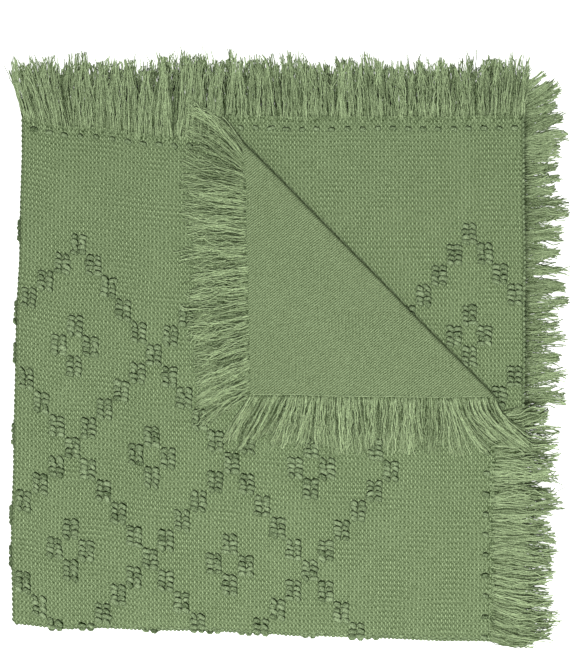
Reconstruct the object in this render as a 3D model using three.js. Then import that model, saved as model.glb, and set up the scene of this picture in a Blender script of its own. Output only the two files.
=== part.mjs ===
// Fringed cotton throw, folded in three across its length and then in half, with one corner of
// the top layer turned back. Millimetres, +Z up, the origin under the middle of the folded panel.
// On the flat cloth p runs along the length from the free side of the outer panel, q runs along
// the width from the upper end of the top half.
import * as THREE from 'three';

const throwLength = 1470;
const throwWidth = 1140;
const fringeLength = 63;
const sheet = 2.6;
const half = sheet / 2;
const rise = 5;
const turnRadius = rise / 2;
const turnRun = Math.PI * turnRadius;

// Where the three panels turn, on the cloth and on the table.
const leftTurn = 531;
const leftTurnEnd = leftTurn + turnRun;
const rightTurn = leftTurnEnd + 569.5;
const rightTurnEnd = rightTurn + turnRun;
const leftFold = { upper: -270.2, lower: -281.2 };
const rightFold = 280.1;
const innerPanelEase = 0.955;
const freeSide = { upper: 252.9, fold: 247.3, under: 260 };

// The inner panel ends part way, so the outer panel steps down over its free side.
const step = { from: -205, to: -105 };

// The outer face of the bottom fold on the table, and the place of that fold on each panel.
const bottomFold = { y: -276, x: -285, slope: -0.0357 };
const foldLine = { outer: 568, inner: 584, pull: 17, pullFrom: -276, pullRun: 344 };

// The turned corner: its crease on the table and the radius of the turn.
const crease = { from: [-26.6, 255.6], to: [252.9, -26.6], radius: 3.3 };

// The woven pattern: a trellis of diamonds, ten cells to a diamond each way.
const cell = { across: 17.69, down: 22.68, period: 10 };
const trellis = { right: 26.55, top: 5.8, lastColumn: 20, firstColumn: -50, lastRow: 40 };
const loopBlock = { height: 3, shrink: 0.8 };
const stitch = { near: 9, far: 15, height: 1.8, shrinkAlong: 0.45, shrinkAcross: 0.7 };

// The backing strip of the fringe and the locks on it.
const strip = { gap: 0.5, depth: 3.5 };
const lock = { midAt: 0.6, midWidth: 0.31, tipWidth: 0.15, midHalf: 0.9, tipHalf: 0.6 };
const pitch = { shown: 10.5, side: 13, floor: 17, hidden: 24, inside: 40 };

const clothColour = 0x788a63;
const fringeColour = 0x7e9069;

const mix = (a, b, t) => a + (b - a) * t;
const clamp = (t) => Math.min(1, Math.max(0, t));

function smooth(from, to, value) {
  const t = clamp((value - from) / (to - from));
  return t * t * (3 - 2 * t);
}

function freeSideX(q) {
  if (q < 250) return freeSide.upper;
  if (q < 570) return mix(freeSide.upper, freeSide.fold, (q - 250) / 320);
  return mix(freeSide.fold, freeSide.under, (q - 570) / (throwWidth - 570));
}

// One point of the folded section: x on the table, mid height and offset height from the middle.
function section(p, q, n) {
  const down = clamp(Math.min(q, throwWidth - q) / (throwWidth / 2));
  const left = mix(leftFold.upper, leftFold.lower, smooth(0, 0.65, down));
  const reach = turnRadius + n;
  if (p <= leftTurn) {
    const x = mix(freeSideX(q), left, p / leftTurn);
    const mid = 1.5 * rise + rise * smooth(step.from, step.to, x);
    const pull = 1 - (1 - clamp((x - foldLine.pullFrom) / foldLine.pullRun)) ** 2;
    return { x, mid, h: mid + n, line: foldLine.outer - foldLine.pull * pull };
  }
  if (p < leftTurnEnd) {
    const a = (p - leftTurn) / turnRadius;
    const x = left - reach * Math.sin(a);
    const mid = rise + turnRadius * Math.cos(a);
    return { x, mid, h: rise + reach * Math.cos(a), line: foldLine.outer };
  }
  if (p <= rightTurn) {
    const t = (p - leftTurnEnd) / (rightTurn - leftTurnEnd);
    const line = mix(foldLine.outer, foldLine.inner, t);
    return { x: mix(left, rightFold, t), mid: turnRadius, h: turnRadius - n, line };
  }
  if (p < rightTurnEnd) {
    const a = (p - rightTurn) / turnRadius;
    const x = rightFold + reach * Math.sin(a);
    const mid = rise - turnRadius * Math.cos(a);
    return { x, mid, h: rise - reach * Math.cos(a), line: foldLine.inner };
  }
  const x = rightFold - (p - rightTurnEnd) * innerPanelEase;
  const line = foldLine.inner + bottomFold.slope * (rightFold - x);
  return { x, mid: 1.5 * rise, h: 1.5 * rise + n, line };
}

const creaseSpan = Math.hypot(crease.to[0] - crease.from[0], crease.to[1] - crease.from[1]);
const creaseOut = [
  (crease.from[1] - crease.to[1]) / creaseSpan,
  (crease.to[0] - crease.from[0]) / creaseSpan,
];
const creaseRun = Math.PI * crease.radius;

// Distance past the start of the corner's turn, towards the corner.
function pastCrease(x, y) {
  const along = (x - crease.from[0]) * creaseOut[0] + (y - crease.from[1]) * creaseOut[1];
  return along + crease.radius + half;
}

function laid(p, q, n) {
  const s = section(p, q, n);
  const start = s.line - Math.PI * s.mid / 2;
  const angle = (q - start) / s.mid;
  const middle = 1.5 * rise + half + rise * smooth(step.from, step.to, s.x);
  const axis = bottomFold.y + bottomFold.slope * (s.x - bottomFold.x) + middle;
  if (angle <= 0) return { x: s.x, y: axis + start - q, z: middle + s.h, base: middle + s.mid, angle };
  if (angle < Math.PI) {
    return { x: s.x, y: axis - s.h * Math.sin(angle), z: middle + s.h * Math.cos(angle), angle };
  }
  return { x: s.x, y: axis + q - start - Math.PI * s.mid, z: middle - s.h, angle };
}

const bendAngle = (p, q) => laid(p, q, 0).angle;

function creaseField(p, q) {
  const at = laid(p, q, 0);
  return pastCrease(at.x, at.y);
}

// The place on the table of a point of the cloth, n above its middle on the patterned face.
function place(p, q, n) {
  const at = laid(p, q, n);
  if (p > leftTurn || at.angle > 0) return [at.x, at.y, at.z];
  const past = pastCrease(at.x, at.y);
  if (past <= 0) return [at.x, at.y, at.z];
  let out = creaseRun - past;
  let z = at.base + 2 * crease.radius - n;
  if (past < creaseRun) {
    const a = past / crease.radius;
    out = (crease.radius - n) * Math.sin(a);
    z = at.base + crease.radius - (crease.radius - n) * Math.cos(a);
  }
  return [at.x + creaseOut[0] * (out - past), at.y + creaseOut[1] * (out - past), z];
}

// Solids are gathered as points and faces, each face given anticlockwise from outside.
class Solid {
  points = [];
  triangles = [];

  add(xyz) {
    this.points.push(xyz);
    return this.points.length - 1;
  }

  face(ring, flip) {
    const r = flip ? [...ring].reverse() : ring;
    for (let k = 1; k < r.length - 1; k += 1) this.triangles.push([r[0], r[k], r[k + 1]]);
  }

  fan(centre, ring, flip) {
    ring.forEach((a, k) => this.face([centre, a, ring[(k + 1) % ring.length]], flip));
  }

  mesh(name, colour) {
    const geometry = new THREE.BufferGeometry();
    geometry.setAttribute('position', new THREE.Float32BufferAttribute(this.points.flat(), 3));
    geometry.setIndex(this.triangles.flat());
    geometry.computeVertexNormals();
    const material = new THREE.MeshStandardMaterial({ color: colour, roughness: 0.95, metalness: 0 });
    const mesh = new THREE.Mesh(geometry, material);
    mesh.name = name;
    return mesh;
  }
}

// The flat cloth as a net of convex patches, cut along the lines where it bends.
const net = {
  spots: [[0, 0], [throwLength, 0], [throwLength, throwWidth], [0, throwWidth]],
  patches: [[0, 1, 2, 3]],
};

function middleOf(patch) {
  const sum = patch.reduce((s, k) => [s[0] + net.spots[k][0], s[1] + net.spots[k][1]], [0, 0]);
  return [sum[0] / patch.length, sum[1] / patch.length];
}

function cut(field, level, inside) {
  const value = net.spots.map(([p, q]) => {
    const v = field(p, q) - level;
    return Math.abs(v) < 1e-6 ? 0 : v;
  });
  const made = new Map();
  const edgeKey = (a, b) => `${Math.min(a, b)}_${Math.max(a, b)}`;
  const chosen = net.patches.map((patch) => {
    const values = patch.map((k) => value[k]);
    return Math.min(...values) < 0 && Math.max(...values) > 0 && inside(...middleOf(patch));
  });
  net.patches.forEach((patch, n) => {
    if (!chosen[n]) return;
    patch.forEach((a, k) => {
      const b = patch[(k + 1) % patch.length];
      if (value[a] * value[b] >= 0 || made.has(edgeKey(a, b))) return;
      const t = value[a] / (value[a] - value[b]);
      const spot = [0, 1].map((c) => mix(net.spots[a][c], net.spots[b][c], t));
      made.set(edgeKey(a, b), net.spots.push(spot) - 1);
      value.push(0);
    });
  });
  net.patches = net.patches.flatMap((patch, n) => {
    const ring = patch.flatMap((a, k) => {
      const spot = made.get(edgeKey(a, patch[(k + 1) % patch.length]));
      return spot === undefined ? [a] : [a, spot];
    });
    if (!chosen[n]) return [ring];
    return [ring.filter((k) => value[k] <= 0), ring.filter((k) => value[k] >= 0)];
  });
}

const alongP = (p) => p;
const alongQ = (p, q) => q;
const anywhere = () => true;
const columnEdge = (i) => (trellis.right - i - 0.5) * cell.across;
const rowEdge = (j) => (trellis.top + j - 0.5) * cell.down;
const range = (from, to) => Array.from({ length: to - from + 1 }, (_, k) => from + k);

// Areas of the cloth that are seen: the outer panel short of the turned corner, the turned
// corner itself, and the part of the inner panel that the corner lays bare.
const lastFlatRow = 18;
const onOuterTop = (p, q) => p < leftTurn && q < rowEdge(lastFlatRow) && creaseField(p, q) < 0;

function underFlap(p, q, margin = 0) {
  const at = laid(p, q, 0);
  return at.x > margin - 20 && at.y > margin - 22;
}

function laidBare(p, q, margin = 6) {
  return p > rightTurnEnd && bendAngle(p, q) < 0 && creaseField(p, q) > margin;
}

function cutCloth() {
  [20, 17, 14, 11, 8, 5, 4, 3, 2, 1, -1].forEach((i) => cut(alongP, columnEdge(i), anywhere));
  cut(alongP, columnEdge(24), anywhere);
  range(0, 4).forEach((k) => cut(alongP, leftTurn + turnRun * k / 4, anywhere));
  [612, 632, 652, 672, 692, 714, 790, 880, 980, 1060].forEach((p) => cut(alongP, p, anywhere));
  range(0, 4).forEach((k) => cut(alongP, rightTurn + turnRun * k / 4, anywhere));
  [-40, -43, -46, -49, -52].forEach((i) => cut(alongP, columnEdge(i), anywhere));
  [0, 4, 8, 12, 16].forEach((j) => cut(alongQ, rowEdge(j), anywhere));
  [740, 920].forEach((q) => cut(alongQ, q, anywhere));
  range(0, 8).forEach((k) => cut(bendAngle, Math.PI * k / 8, anywhere));
  const nearCorner = (p, q) => p < leftTurn && bendAngle(p, q) < 0;
  range(0, 4).forEach((k) => cut(creaseField, creaseRun * k / 4, nearCorner));
  const onShownTop = (p, q) => onOuterTop(p, q) && !underFlap(p, q, 40);
  const nearBare = (p, q) => laidBare(p, q, -40);
  range(-3, 19).forEach((i) => cut(alongP, columnEdge(i), onShownTop));
  range(1, lastFlatRow).forEach((j) => {
    cut(alongQ, rowEdge(j), (p, q) => onShownTop(p, q) && p > columnEdge(20));
  });
  range(-55, -37).forEach((i) => cut(alongP, columnEdge(i), nearBare));
  range(1, 13).forEach((j) => cut(alongQ, rowEdge(j), nearBare));
  [stitch.near, stitch.far].forEach((d) => {
    cut(alongQ, d, (p, q) => onOuterTop(p, q) || nearBare(p, q));
    cut(alongP, d, onShownTop);
  });
  const inSideStitches = (p, q) => p > stitch.near && p < stitch.far && onOuterTop(p, q);
  range(10, lastFlatRow).forEach((j) => cut(alongQ, rowEdge(j), inSideStitches));
}

// Whether the chart has a loop block in column i, row j.
function charted(i, j) {
  const inField = i <= trellis.lastColumn && i >= trellis.firstColumn && j >= 0 && j <= trellis.lastRow;
  if (!inField) return false;
  const mid = cell.period / 2;
  const nearest = (k, shift) => Math.round((k - shift) / cell.period) * cell.period + shift;
  const inRing = (shiftI, shiftJ) => {
    const ci = nearest(i, shiftI);
    const cj = nearest(j, shiftJ);
    const whole = ci < trellis.lastColumn && ci > trellis.firstColumn && cj > 0 && cj < trellis.lastRow;
    return whole && Math.abs(i - ci) + Math.abs(j - cj) === 1;
  };
  const onTrellis = Math.abs(i - nearest(i, 0)) + Math.abs(j - nearest(j, mid)) === mid;
  return onTrellis || inRing(0, mid) || inRing(mid, 0);
}

// A raised form on a patch, or nothing where the patch stays plain.
function raised(patch) {
  const [p, q] = middleOf(patch);
  const ps = patch.map((k) => net.spots[k][0]);
  const qs = patch.map((k) => net.spots[k][1]);
  const wide = Math.max(...ps) - Math.min(...ps);
  const tall = Math.max(...qs) - Math.min(...qs);
  const shown = (onOuterTop(p, q) && !underFlap(p, q)) || laidBare(p, q);
  if (!shown) return null;
  const band = stitch.far - stitch.near;
  if (Math.abs(wide - cell.across) < 1.5 && Math.abs(tall - cell.down) < 1.5) {
    const i = Math.round(trellis.right - p / cell.across);
    const j = Math.round(q / cell.down - trellis.top);
    if (!charted(i, j)) return null;
    return { height: loopBlock.height, p: loopBlock.shrink, q: loopBlock.shrink };
  }
  if (Math.abs(tall - band) < 0.1 && Math.abs(wide - cell.across) < 1.5 && q < stitch.far) {
    return { height: stitch.height, p: stitch.shrinkAlong, q: stitch.shrinkAcross };
  }
  if (Math.abs(wide - band) < 0.1 && Math.abs(tall - cell.down) < 1.5 && p < stitch.far) {
    return { height: stitch.height, p: stitch.shrinkAcross, q: stitch.shrinkAlong };
  }
  return null;
}

function makeCloth() {
  cutCloth();
  const body = new Solid();
  const face = net.spots.map(([p, q]) => body.add(place(p, q, half)));
  const back = net.spots.map(([p, q]) => body.add(place(p, q, -half)));
  const rim = new Map();
  net.patches.forEach((patch) => {
    const [p, q] = middleOf(patch);
    const up = patch.map((k) => face[k]);
    const down = patch.map((k) => back[k]);
    const form = raised(patch);
    if (form) {
      const top = patch.map((k) => {
        const [a, b] = net.spots[k];
        return body.add(place(mix(p, a, form.p), mix(q, b, form.q), half + form.height));
      });
      up.forEach((a, k) => {
        const next = (k + 1) % up.length;
        body.face([a, up[next], top[next], top[k]]);
      });
      body.fan(body.add(place(p, q, half + form.height)), top);
    } else if (patch.length > 4) {
      body.fan(body.add(place(p, q, half)), up);
    } else {
      body.face(up);
    }
    if (patch.length > 4) body.fan(body.add(place(p, q, -half)), down, true);
    else body.face(down, true);
    patch.forEach((a, k) => {
      const b = patch[(k + 1) % patch.length];
      if (rim.has(`${b}_${a}`)) rim.delete(`${b}_${a}`);
      else rim.set(`${a}_${b}`, [a, b]);
    });
  });
  rim.forEach(([a, b]) => body.face([face[a], back[a], back[b], face[b]]));
  return body.mesh('throw_cloth', clothColour);
}

// How far along an edge the corner's turn reaches a given distance.
function edgeAt(level, spot) {
  let near = 0;
  let far = 500;
  for (let k = 0; k < 50; k += 1) {
    const mid = (near + far) / 2;
    if (creaseField(...spot(mid)) > level) near = mid;
    else far = mid;
  }
  return near;
}

const uneven = (k) => {
  const v = Math.sin(k * 12.9898) * 43758.5453;
  return (v - Math.floor(v)) * 2 - 1;
};
const waver = (s) => Math.sin(s / 23) + 0.6 * Math.sin(s / 9.7 + 1);

// Heights of a lock's middle and tip over the table. Ends of stacked layers sink together,
// those of the lowest layer lie level, and those of the turned corner rest on the loop blocks.
const rests = {
  stacked: (root, f, at, thick) => thick + (root - half) * (1 - 0.62 * clamp((at.y - 304) / 58)),
  side: (root, f, at, thick) => thick + (root - half) * (f < 0.9 ? 0.94 : 0.56),
  corner: (root, f, at, thick) => 30.9 + thick,
  between: (root, f) => root - f * 0.8,
};

function makeFringe(name, edge, spans) {
  const body = new Solid();
  const spot = (s, out) => {
    if (edge.along === 'p') return [s, edge.at + edge.out * out];
    return [edge.at + edge.out * out, s];
  };
  const flip = edge.along === 'p' ? edge.out < 0 : edge.out > 0;
  const outer = strip.gap + strip.depth;
  const stations = [spans[0].from];
  const locked = [];
  spans.forEach(({ from, to, by, bare }) => {
    const count = Math.max(1, Math.round((to - from) / by));
    range(1, count).forEach((k) => {
      stations.push(mix(from, to, k / count));
      locked.push(!bare);
    });
  });
  const rings = stations.map((s) => [
    body.add(place(...spot(s, strip.gap), half)),
    body.add(place(...spot(s, outer), half)),
    body.add(place(...spot(s, outer), -half)),
    body.add(place(...spot(s, strip.gap), -half)),
  ]);
  const tie = (a, b, from, to) => body.face([a[from], b[from], b[to], a[to]], flip);
  stations.slice(1).forEach((s, k) => {
    const a = rings[k];
    const b = rings[k + 1];
    tie(a, b, 0, 1);
    tie(a, b, 2, 3);
    tie(a, b, 3, 0);
    if (!locked[k]) {
      tie(a, b, 1, 2);
      return;
    }
    let [low, high] = [a, b].map((r) => [r[1], r[2]]);
    sections(stations[k], s).forEach((corners) => {
      const next = corners.map((xyz) => body.add(xyz));
      const [nextLow, nextHigh] = [[next[0], next[1]], [next[3], next[2]]];
      body.face([low[0], high[0], nextHigh[0], nextLow[0]], flip);
      body.face([high[0], high[1], nextHigh[1], nextHigh[0]], flip);
      body.face([high[1], low[1], nextLow[1], nextHigh[1]], flip);
      body.face([low[1], low[0], nextLow[0], nextLow[1]], flip);
      [low, high] = [nextLow, nextHigh];
    });
    body.face([low[0], high[0], high[1], low[1]], flip);
  });
  body.face([rings[0][0], rings[0][1], rings[0][2], rings[0][3]], flip);
  const last = rings[rings.length - 1];
  body.face([last[3], last[2], last[1], last[0]], flip);
  return body.mesh(name, fringeColour);

  // The middle and the tip of one lock, each as four corners.
  function sections(from, to) {
    const s = (from + to) / 2;
    const at = (q, out, n) => new THREE.Vector3(...place(...spot(q, out), n));
    const root = at(s, outer, 0);
    const ahead = at(s, outer + 5, 0).sub(root).setZ(0).normalize();
    const side = at(to, outer, 0).sub(at(from, outer, 0));
    const width = side.length();
    side.normalize();
    const up = at(s, outer, half).sub(at(s, outer, -half)).normalize();
    const reach = fringeLength * (1 + 0.1 * uneven(s + 3)) - outer;
    const lean = edge.fan ? edge.fan(s) : 0;
    const stages = [[lock.midAt, lock.midWidth, lock.midHalf], [1, lock.tipWidth, lock.tipHalf]];
    return stages.map(([f, w, thick]) => {
      const sway = f * f * (2.4 * waver(s) + 1.4 * uneven(s)) + f * reach * lean;
      const c = root.clone().addScaledVector(ahead, reach * f).addScaledVector(side, sway);
      c.z = rests[edge.rest](root.z, f, c, thick);
      const corner = (a, b) => {
        const v = c.clone().addScaledVector(side, a * w * width).addScaledVector(up, b * thick);
        return v.setZ(Math.max(v.z, 0)).toArray();
      };
      return [corner(-1, 1), corner(-1, -1), corner(1, -1), corner(1, 1)];
    });
  }
}

const topEdge = (p) => [p, -9];
const freeEdge = (q) => [-9, q];
const bareSpan = (from, to) => ({ from, to, by: (to - from) / 4, bare: true });
const firstBare = rightTurnEnd + (rightFold + 32) / innerPanelEase;

function fringes() {
  const cornerTop = edgeAt(-2, topEdge);
  const cornerSide = edgeAt(-2, freeEdge);
  const flapTop = edgeAt(creaseRun + 10, topEdge);
  const flapSide = edgeAt(creaseRun + 10, freeEdge);
  const bend = (p) => {
    const { line, mid } = section(p, throwWidth / 2, 0);
    return { from: line - Math.PI * mid / 2, to: line + Math.PI * mid / 2 };
  };
  const outerBend = bend(0);
  const innerBend = bend(throwLength);
  const overLeft = bareSpan(leftTurn, leftTurnEnd);
  const overRight = bareSpan(rightTurn, rightTurnEnd);
  const top = { along: 'p', at: 0, out: -1, rest: 'stacked' };
  top.fan = (s) => (s < leftTurn ? 0.25 * smooth(470, leftTurn, s) : 0);
  const under = { along: 'p', at: throwWidth, out: 1, rest: 'stacked' };
  under.fan = (s) => -0.45 * smooth(60, 0, s);
  const side = { along: 'q', at: 0, out: -1, rest: 'side' };
  side.fan = (s) => 0.12 * smooth(650, 800, s) + 0.4 * smooth(1050, 1140, s);
  const flapLeft = { along: 'p', at: 0, out: -1, rest: 'corner' };
  flapLeft.fan = (s) => 0.55 * smooth(195, 262, s) - 0.6 * smooth(165, 0, s);
  const flapBottom = { along: 'q', at: 0, out: -1, rest: 'corner' };
  flapBottom.fan = (s) => 0.8 * smooth(195, 262, s) - 0.55 * smooth(80, 0, s);
  const inner = { along: 'q', at: throwLength, out: 1, rest: 'between' };
  return [
    makeFringe('fringe_top', top, [
      { from: cornerTop, to: overLeft.from, by: pitch.shown },
      overLeft,
      { from: overLeft.to, to: overRight.from, by: pitch.hidden },
      overRight,
      { from: overRight.to, to: firstBare, by: pitch.shown },
      { from: firstBare, to: throwLength, by: pitch.hidden },
    ]),
    makeFringe('fringe_under', under, [
      { from: 0, to: overLeft.from, by: pitch.hidden },
      overLeft,
      { from: overLeft.to, to: overRight.from, by: pitch.hidden },
      overRight,
      { from: overRight.to, to: throwLength, by: pitch.hidden },
    ]),
    makeFringe('fringe_right', side, [
      { from: cornerSide, to: outerBend.from, by: pitch.side },
      { ...outerBend, by: (outerBend.to - outerBend.from) / 6 },
      { from: outerBend.to, to: throwWidth, by: pitch.floor },
    ]),
    makeFringe('fringe_flap_left', flapLeft, [{ from: 0, to: flapTop, by: pitch.shown }]),
    makeFringe('fringe_flap_bottom', flapBottom, [{ from: 0, to: flapSide, by: pitch.shown }]),
    makeFringe('fringe_inner', inner, [
      { from: 0, to: innerBend.from, by: pitch.inside },
      bareSpan(innerBend.from, innerBend.to),
      { from: innerBend.to, to: throwWidth, by: pitch.inside },
    ]),
  ];
}

const throwGroup = new THREE.Group();
throwGroup.name = 'fringed_throw';
throwGroup.add(makeCloth(), ...fringes());

export default throwGroup;
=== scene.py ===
import math

import bpy
import numpy as np
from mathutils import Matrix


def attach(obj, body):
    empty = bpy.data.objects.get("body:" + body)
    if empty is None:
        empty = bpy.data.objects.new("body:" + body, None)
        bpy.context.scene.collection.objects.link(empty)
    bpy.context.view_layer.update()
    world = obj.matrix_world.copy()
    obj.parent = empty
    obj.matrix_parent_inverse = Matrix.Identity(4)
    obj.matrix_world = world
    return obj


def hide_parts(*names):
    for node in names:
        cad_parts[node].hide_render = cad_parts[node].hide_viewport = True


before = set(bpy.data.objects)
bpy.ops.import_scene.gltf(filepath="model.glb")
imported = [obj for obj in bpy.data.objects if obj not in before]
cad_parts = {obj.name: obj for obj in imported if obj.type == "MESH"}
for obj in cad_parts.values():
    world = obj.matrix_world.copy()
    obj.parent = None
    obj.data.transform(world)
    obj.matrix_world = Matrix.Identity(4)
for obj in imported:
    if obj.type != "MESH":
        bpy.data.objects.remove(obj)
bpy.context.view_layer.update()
chance = np.random.default_rng(57)
mm = 0.001
print("frame loaded:", ", ".join(sorted(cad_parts)))

# The fold of the throw, in mm. On the flat cloth p runs along it from the free side of the outer
# panel and q runs across it from the upper end.
throw = {
    "length": 1470.0, "width": 1140.0, "sheet": 2.6, "rise": 5.0,
    "cellAcross": 17.69, "cellDown": 22.68,  # pitch of the pattern's blocks
    "leftTurn": 531.0, "middleRun": 569.5,
    "leftUpper": -270.2, "leftLower": -281.2, "rightFold": 280.1, "innerEase": 0.955,
    "freeUpper": 252.9, "freeFold": 247.3, "freeUnder": 260.0,
    "stepFrom": -205.0, "stepTo": -105.0,  # the outer panel steps down over the inner one's side
    "foldY": -277.6, "foldX": -285.0, "foldSlope": -0.0357,  # outer face of the bottom fold
    "foldOuter": 568.0, "foldInner": 584.0, "pull": 17.0, "pullFrom": -276.0, "pullRun": 344.0,
    "creaseFrom": (-26.6, 255.6), "creaseTo": (252.9, -26.6), "creaseRadius": 3.3,
}
half = throw["sheet"] / 2
turnRadius = throw["rise"] / 2
turnRun = math.pi * turnRadius
leftTurnEnd = throw["leftTurn"] + turnRun
rightTurn = leftTurnEnd + throw["middleRun"]
rightTurnEnd = rightTurn + turnRun
creaseRun = math.pi * throw["creaseRadius"]

# Soft troughs across the pile, each along a line in y: x, y from, y to, width and share of height.
settled = {
    "troughs": [
        (-115.0, -90.0, 262.0, 13.0, 0.050),
        (143.0, 80.0, 262.0, 16.0, 0.045),
        (253.0, 20.0, 262.0, 12.0, 0.030),
        (-232.0, -200.0, 120.0, 26.0, 0.030),
    ],
    "bulges": [(-228.0, 28.0, 2.4), (28.0, 26.0, 2.0)],  # slight ones along the bottom fold: x, width, out
    "leftWaves": [(0.6, 0.12, 2.2), (0.88, 0.1, -1.6)],  # of the left fold: share of the way down, width, in
    "sag": (0.006, 0.004), "waver": 0.7,  # broad and finer sag as a share of height, and the edges' waver
}


def mix(a, b, t):
    return a + (b - a) * t


def smooth(low, high, value):
    t = np.clip((value - low) / (high - low), 0, 1)
    return t * t * (3 - 2 * t)


def freeSideX(q):
    sides = [throw["freeUpper"], throw["freeUpper"], throw["freeFold"], throw["freeUnder"]]
    return np.interp(q, [0, 250, 570, throw["width"]], sides)


# x on the table, height of the middle of the sheet, rise of n above it, and the fold line's q
def sectionAt(p, q, n):
    t = throw
    down = np.clip(np.minimum(q, t["width"] - q) / (t["width"] / 2), 0, 1)
    left = mix(t["leftUpper"], t["leftLower"], smooth(0, 0.65, down))
    for place, width, inward in settled["leftWaves"]:
        left = left + inward * np.exp(-(((down - place) / width) ** 2))
    reach = turnRadius + n
    leftAngle = (p - t["leftTurn"]) / turnRadius
    rightAngle = (p - rightTurn) / turnRadius
    share = (p - leftTurnEnd) / t["middleRun"]
    outerX = mix(freeSideX(q), left, p / t["leftTurn"])
    innerX = t["rightFold"] - (p - rightTurnEnd) * t["innerEase"]
    stepped = 1.5 * t["rise"] + t["rise"] * smooth(t["stepFrom"], t["stepTo"], outerX)
    pulled = 1 - (1 - np.clip((outerX - t["pullFrom"]) / t["pullRun"], 0, 1)) ** 2
    onPanel = [p <= t["leftTurn"], p < leftTurnEnd, p <= rightTurn, p < rightTurnEnd]
    x = np.select(onPanel, [
        outerX,
        left - reach * np.sin(leftAngle),
        mix(left, t["rightFold"], share),
        t["rightFold"] + reach * np.sin(rightAngle),
    ], innerX)
    mid = np.select(onPanel, [
        stepped,
        t["rise"] + turnRadius * np.cos(leftAngle),
        np.full_like(p, turnRadius),
        t["rise"] - turnRadius * np.cos(rightAngle),
    ], 1.5 * t["rise"])
    lift = np.select(onPanel, [n, n * np.cos(leftAngle), -n, -n * np.cos(rightAngle)], n)
    line = np.select(onPanel, [
        t["foldOuter"] - t["pull"] * pulled,
        np.full_like(p, t["foldOuter"]),
        mix(t["foldOuter"], t["foldInner"], share),
        np.full_like(p, t["foldInner"]),
    ], t["foldInner"] + t["foldSlope"] * (t["rightFold"] - innerX))
    return x, mid, lift, line


def laidAt(p, q, n):
    p, q, n = (np.asarray(v, float) for v in np.broadcast_arrays(p, q, n))
    x, mid, lift, line = sectionAt(p, q, n)
    start = line - math.pi * mid / 2
    angle = (q - start) / mid
    stepped = throw["rise"] * smooth(throw["stepFrom"], throw["stepTo"], x)
    middle = 1.5 * throw["rise"] + half + stepped
    axis = throw["foldY"] + throw["foldSlope"] * (x - throw["foldX"]) + middle
    for bulgeX, width, out in settled["bulges"]:
        axis = axis - out * np.exp(-(((x - bulgeX) / width) ** 2))
    h = mid + lift
    onHalf = [angle <= 0, angle < math.pi]
    turned = np.clip(angle, 0, math.pi)
    y = np.select(onHalf, [axis + start - q, axis - h * np.sin(turned)], axis + q - start - math.pi * mid)
    z = np.select(onHalf, [middle + h, middle + h * np.cos(turned)], middle - h)
    return x, y, z, middle + mid, angle


creaseSpan = math.dist(throw["creaseFrom"], throw["creaseTo"])
creaseOut = np.array([
    throw["creaseFrom"][1] - throw["creaseTo"][1],
    throw["creaseTo"][0] - throw["creaseFrom"][0],
]) / creaseSpan


# distance past the start of the corner's turn, towards the corner
def pastCrease(x, y):
    along = (x - throw["creaseFrom"][0]) * creaseOut[0] + (y - throw["creaseFrom"][1]) * creaseOut[1]
    return along + throw["creaseRadius"] + half


def creaseField(p, q):
    x, y, *rest = laidAt(p, q, 0.0)
    return pastCrease(x, y)


# where a point of the cloth lies, n above its middle on the patterned face
def placeAt(p, q, n):
    p, q, n = (np.asarray(v, float) for v in np.broadcast_arrays(p, q, n))
    x, y, z, base, angle = laidAt(p, q, n)
    past = pastCrease(x, y)
    radius = throw["creaseRadius"]
    turning = np.clip(past / radius, 0, math.pi)
    onTurn = past < creaseRun
    out = np.where(onTurn, (radius - n) * np.sin(turning), creaseRun - past)
    raisedZ = base + np.where(onTurn, radius - (radius - n) * np.cos(turning), 2 * radius - n)
    corner = (p <= throw["leftTurn"]) & (angle <= 0) & (past > 0)
    shift = np.where(corner, out - past, 0)
    z = np.where(corner, raisedZ, z)
    return np.stack([x + creaseOut[0] * shift, y + creaseOut[1] * shift, z], -1)


# the same soft sag and waver for every piece, so that layers keep their order
def settle(at):
    x, y, z = at[..., 0], at[..., 1], at[..., 2]
    broad, finer = settled["sag"]
    sag = broad * np.sin(x / 61 + 1.3) * np.sin(y / 83) + finer * np.sin(x / 29 - y / 47)
    for troughX, fromY, toY, width, depth in settled["troughs"]:
        ends = smooth(fromY - 40, fromY, y) * smooth(toY + 60, toY, y)
        sag = sag + depth * ends * np.exp(-(((x - troughX - 4 * np.sin(y / 60)) / width) ** 2))
    waver = settled["waver"]
    return np.stack([
        x + waver * (np.sin(y / 61) + 0.5 * np.sin(y / 19 + 1)),
        y + waver * (np.sin(x / 53 + 2) + 0.5 * np.sin(x / 17)),
        z * (1 - sag),
    ], -1)


# position and axes of the settled cloth at p, q: along p, along q, and out of the patterned face
def axesAt(p, q, n):
    step = 0.4
    at = settle(placeAt(p, q, n))
    alongP = settle(placeAt(p + step, q, n)) - settle(placeAt(p - step, q, n))
    alongQ = settle(placeAt(p, q + step, n)) - settle(placeAt(p, q - step, n))
    up = np.cross(alongP, alongQ)
    up = up / np.linalg.norm(up, axis=-1, keepdims=True)
    xAxis = alongP / np.linalg.norm(alongP, axis=-1, keepdims=True)
    return at, xAxis, np.cross(up, xAxis), up


# Shader parts

def linear(red, green, blue):
    values = [v / 255 for v in (red, green, blue)]
    return [v / 12.92 if v <= 0.04045 else ((v + 0.055) / 1.055) ** 2.4 for v in values] + [1.0]


def feed(tree, socket, value):
    if isinstance(value, bpy.types.NodeSocket):
        tree.links.new(value, socket)
    else:
        socket.default_value = value


def calc(tree, operation, *values):
    made = tree.nodes.new("ShaderNodeMath")
    made.operation = operation
    for socket, value in zip(made.inputs, values):
        feed(tree, socket, value)
    return made.outputs[0]


def summed(tree, first, *others):
    for value in others:
        first = calc(tree, "ADD", first, value)
    return first


def centred(tree, value, amount):
    return calc(tree, "MULTIPLY", calc(tree, "SUBTRACT", value, 0.5), amount)


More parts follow.
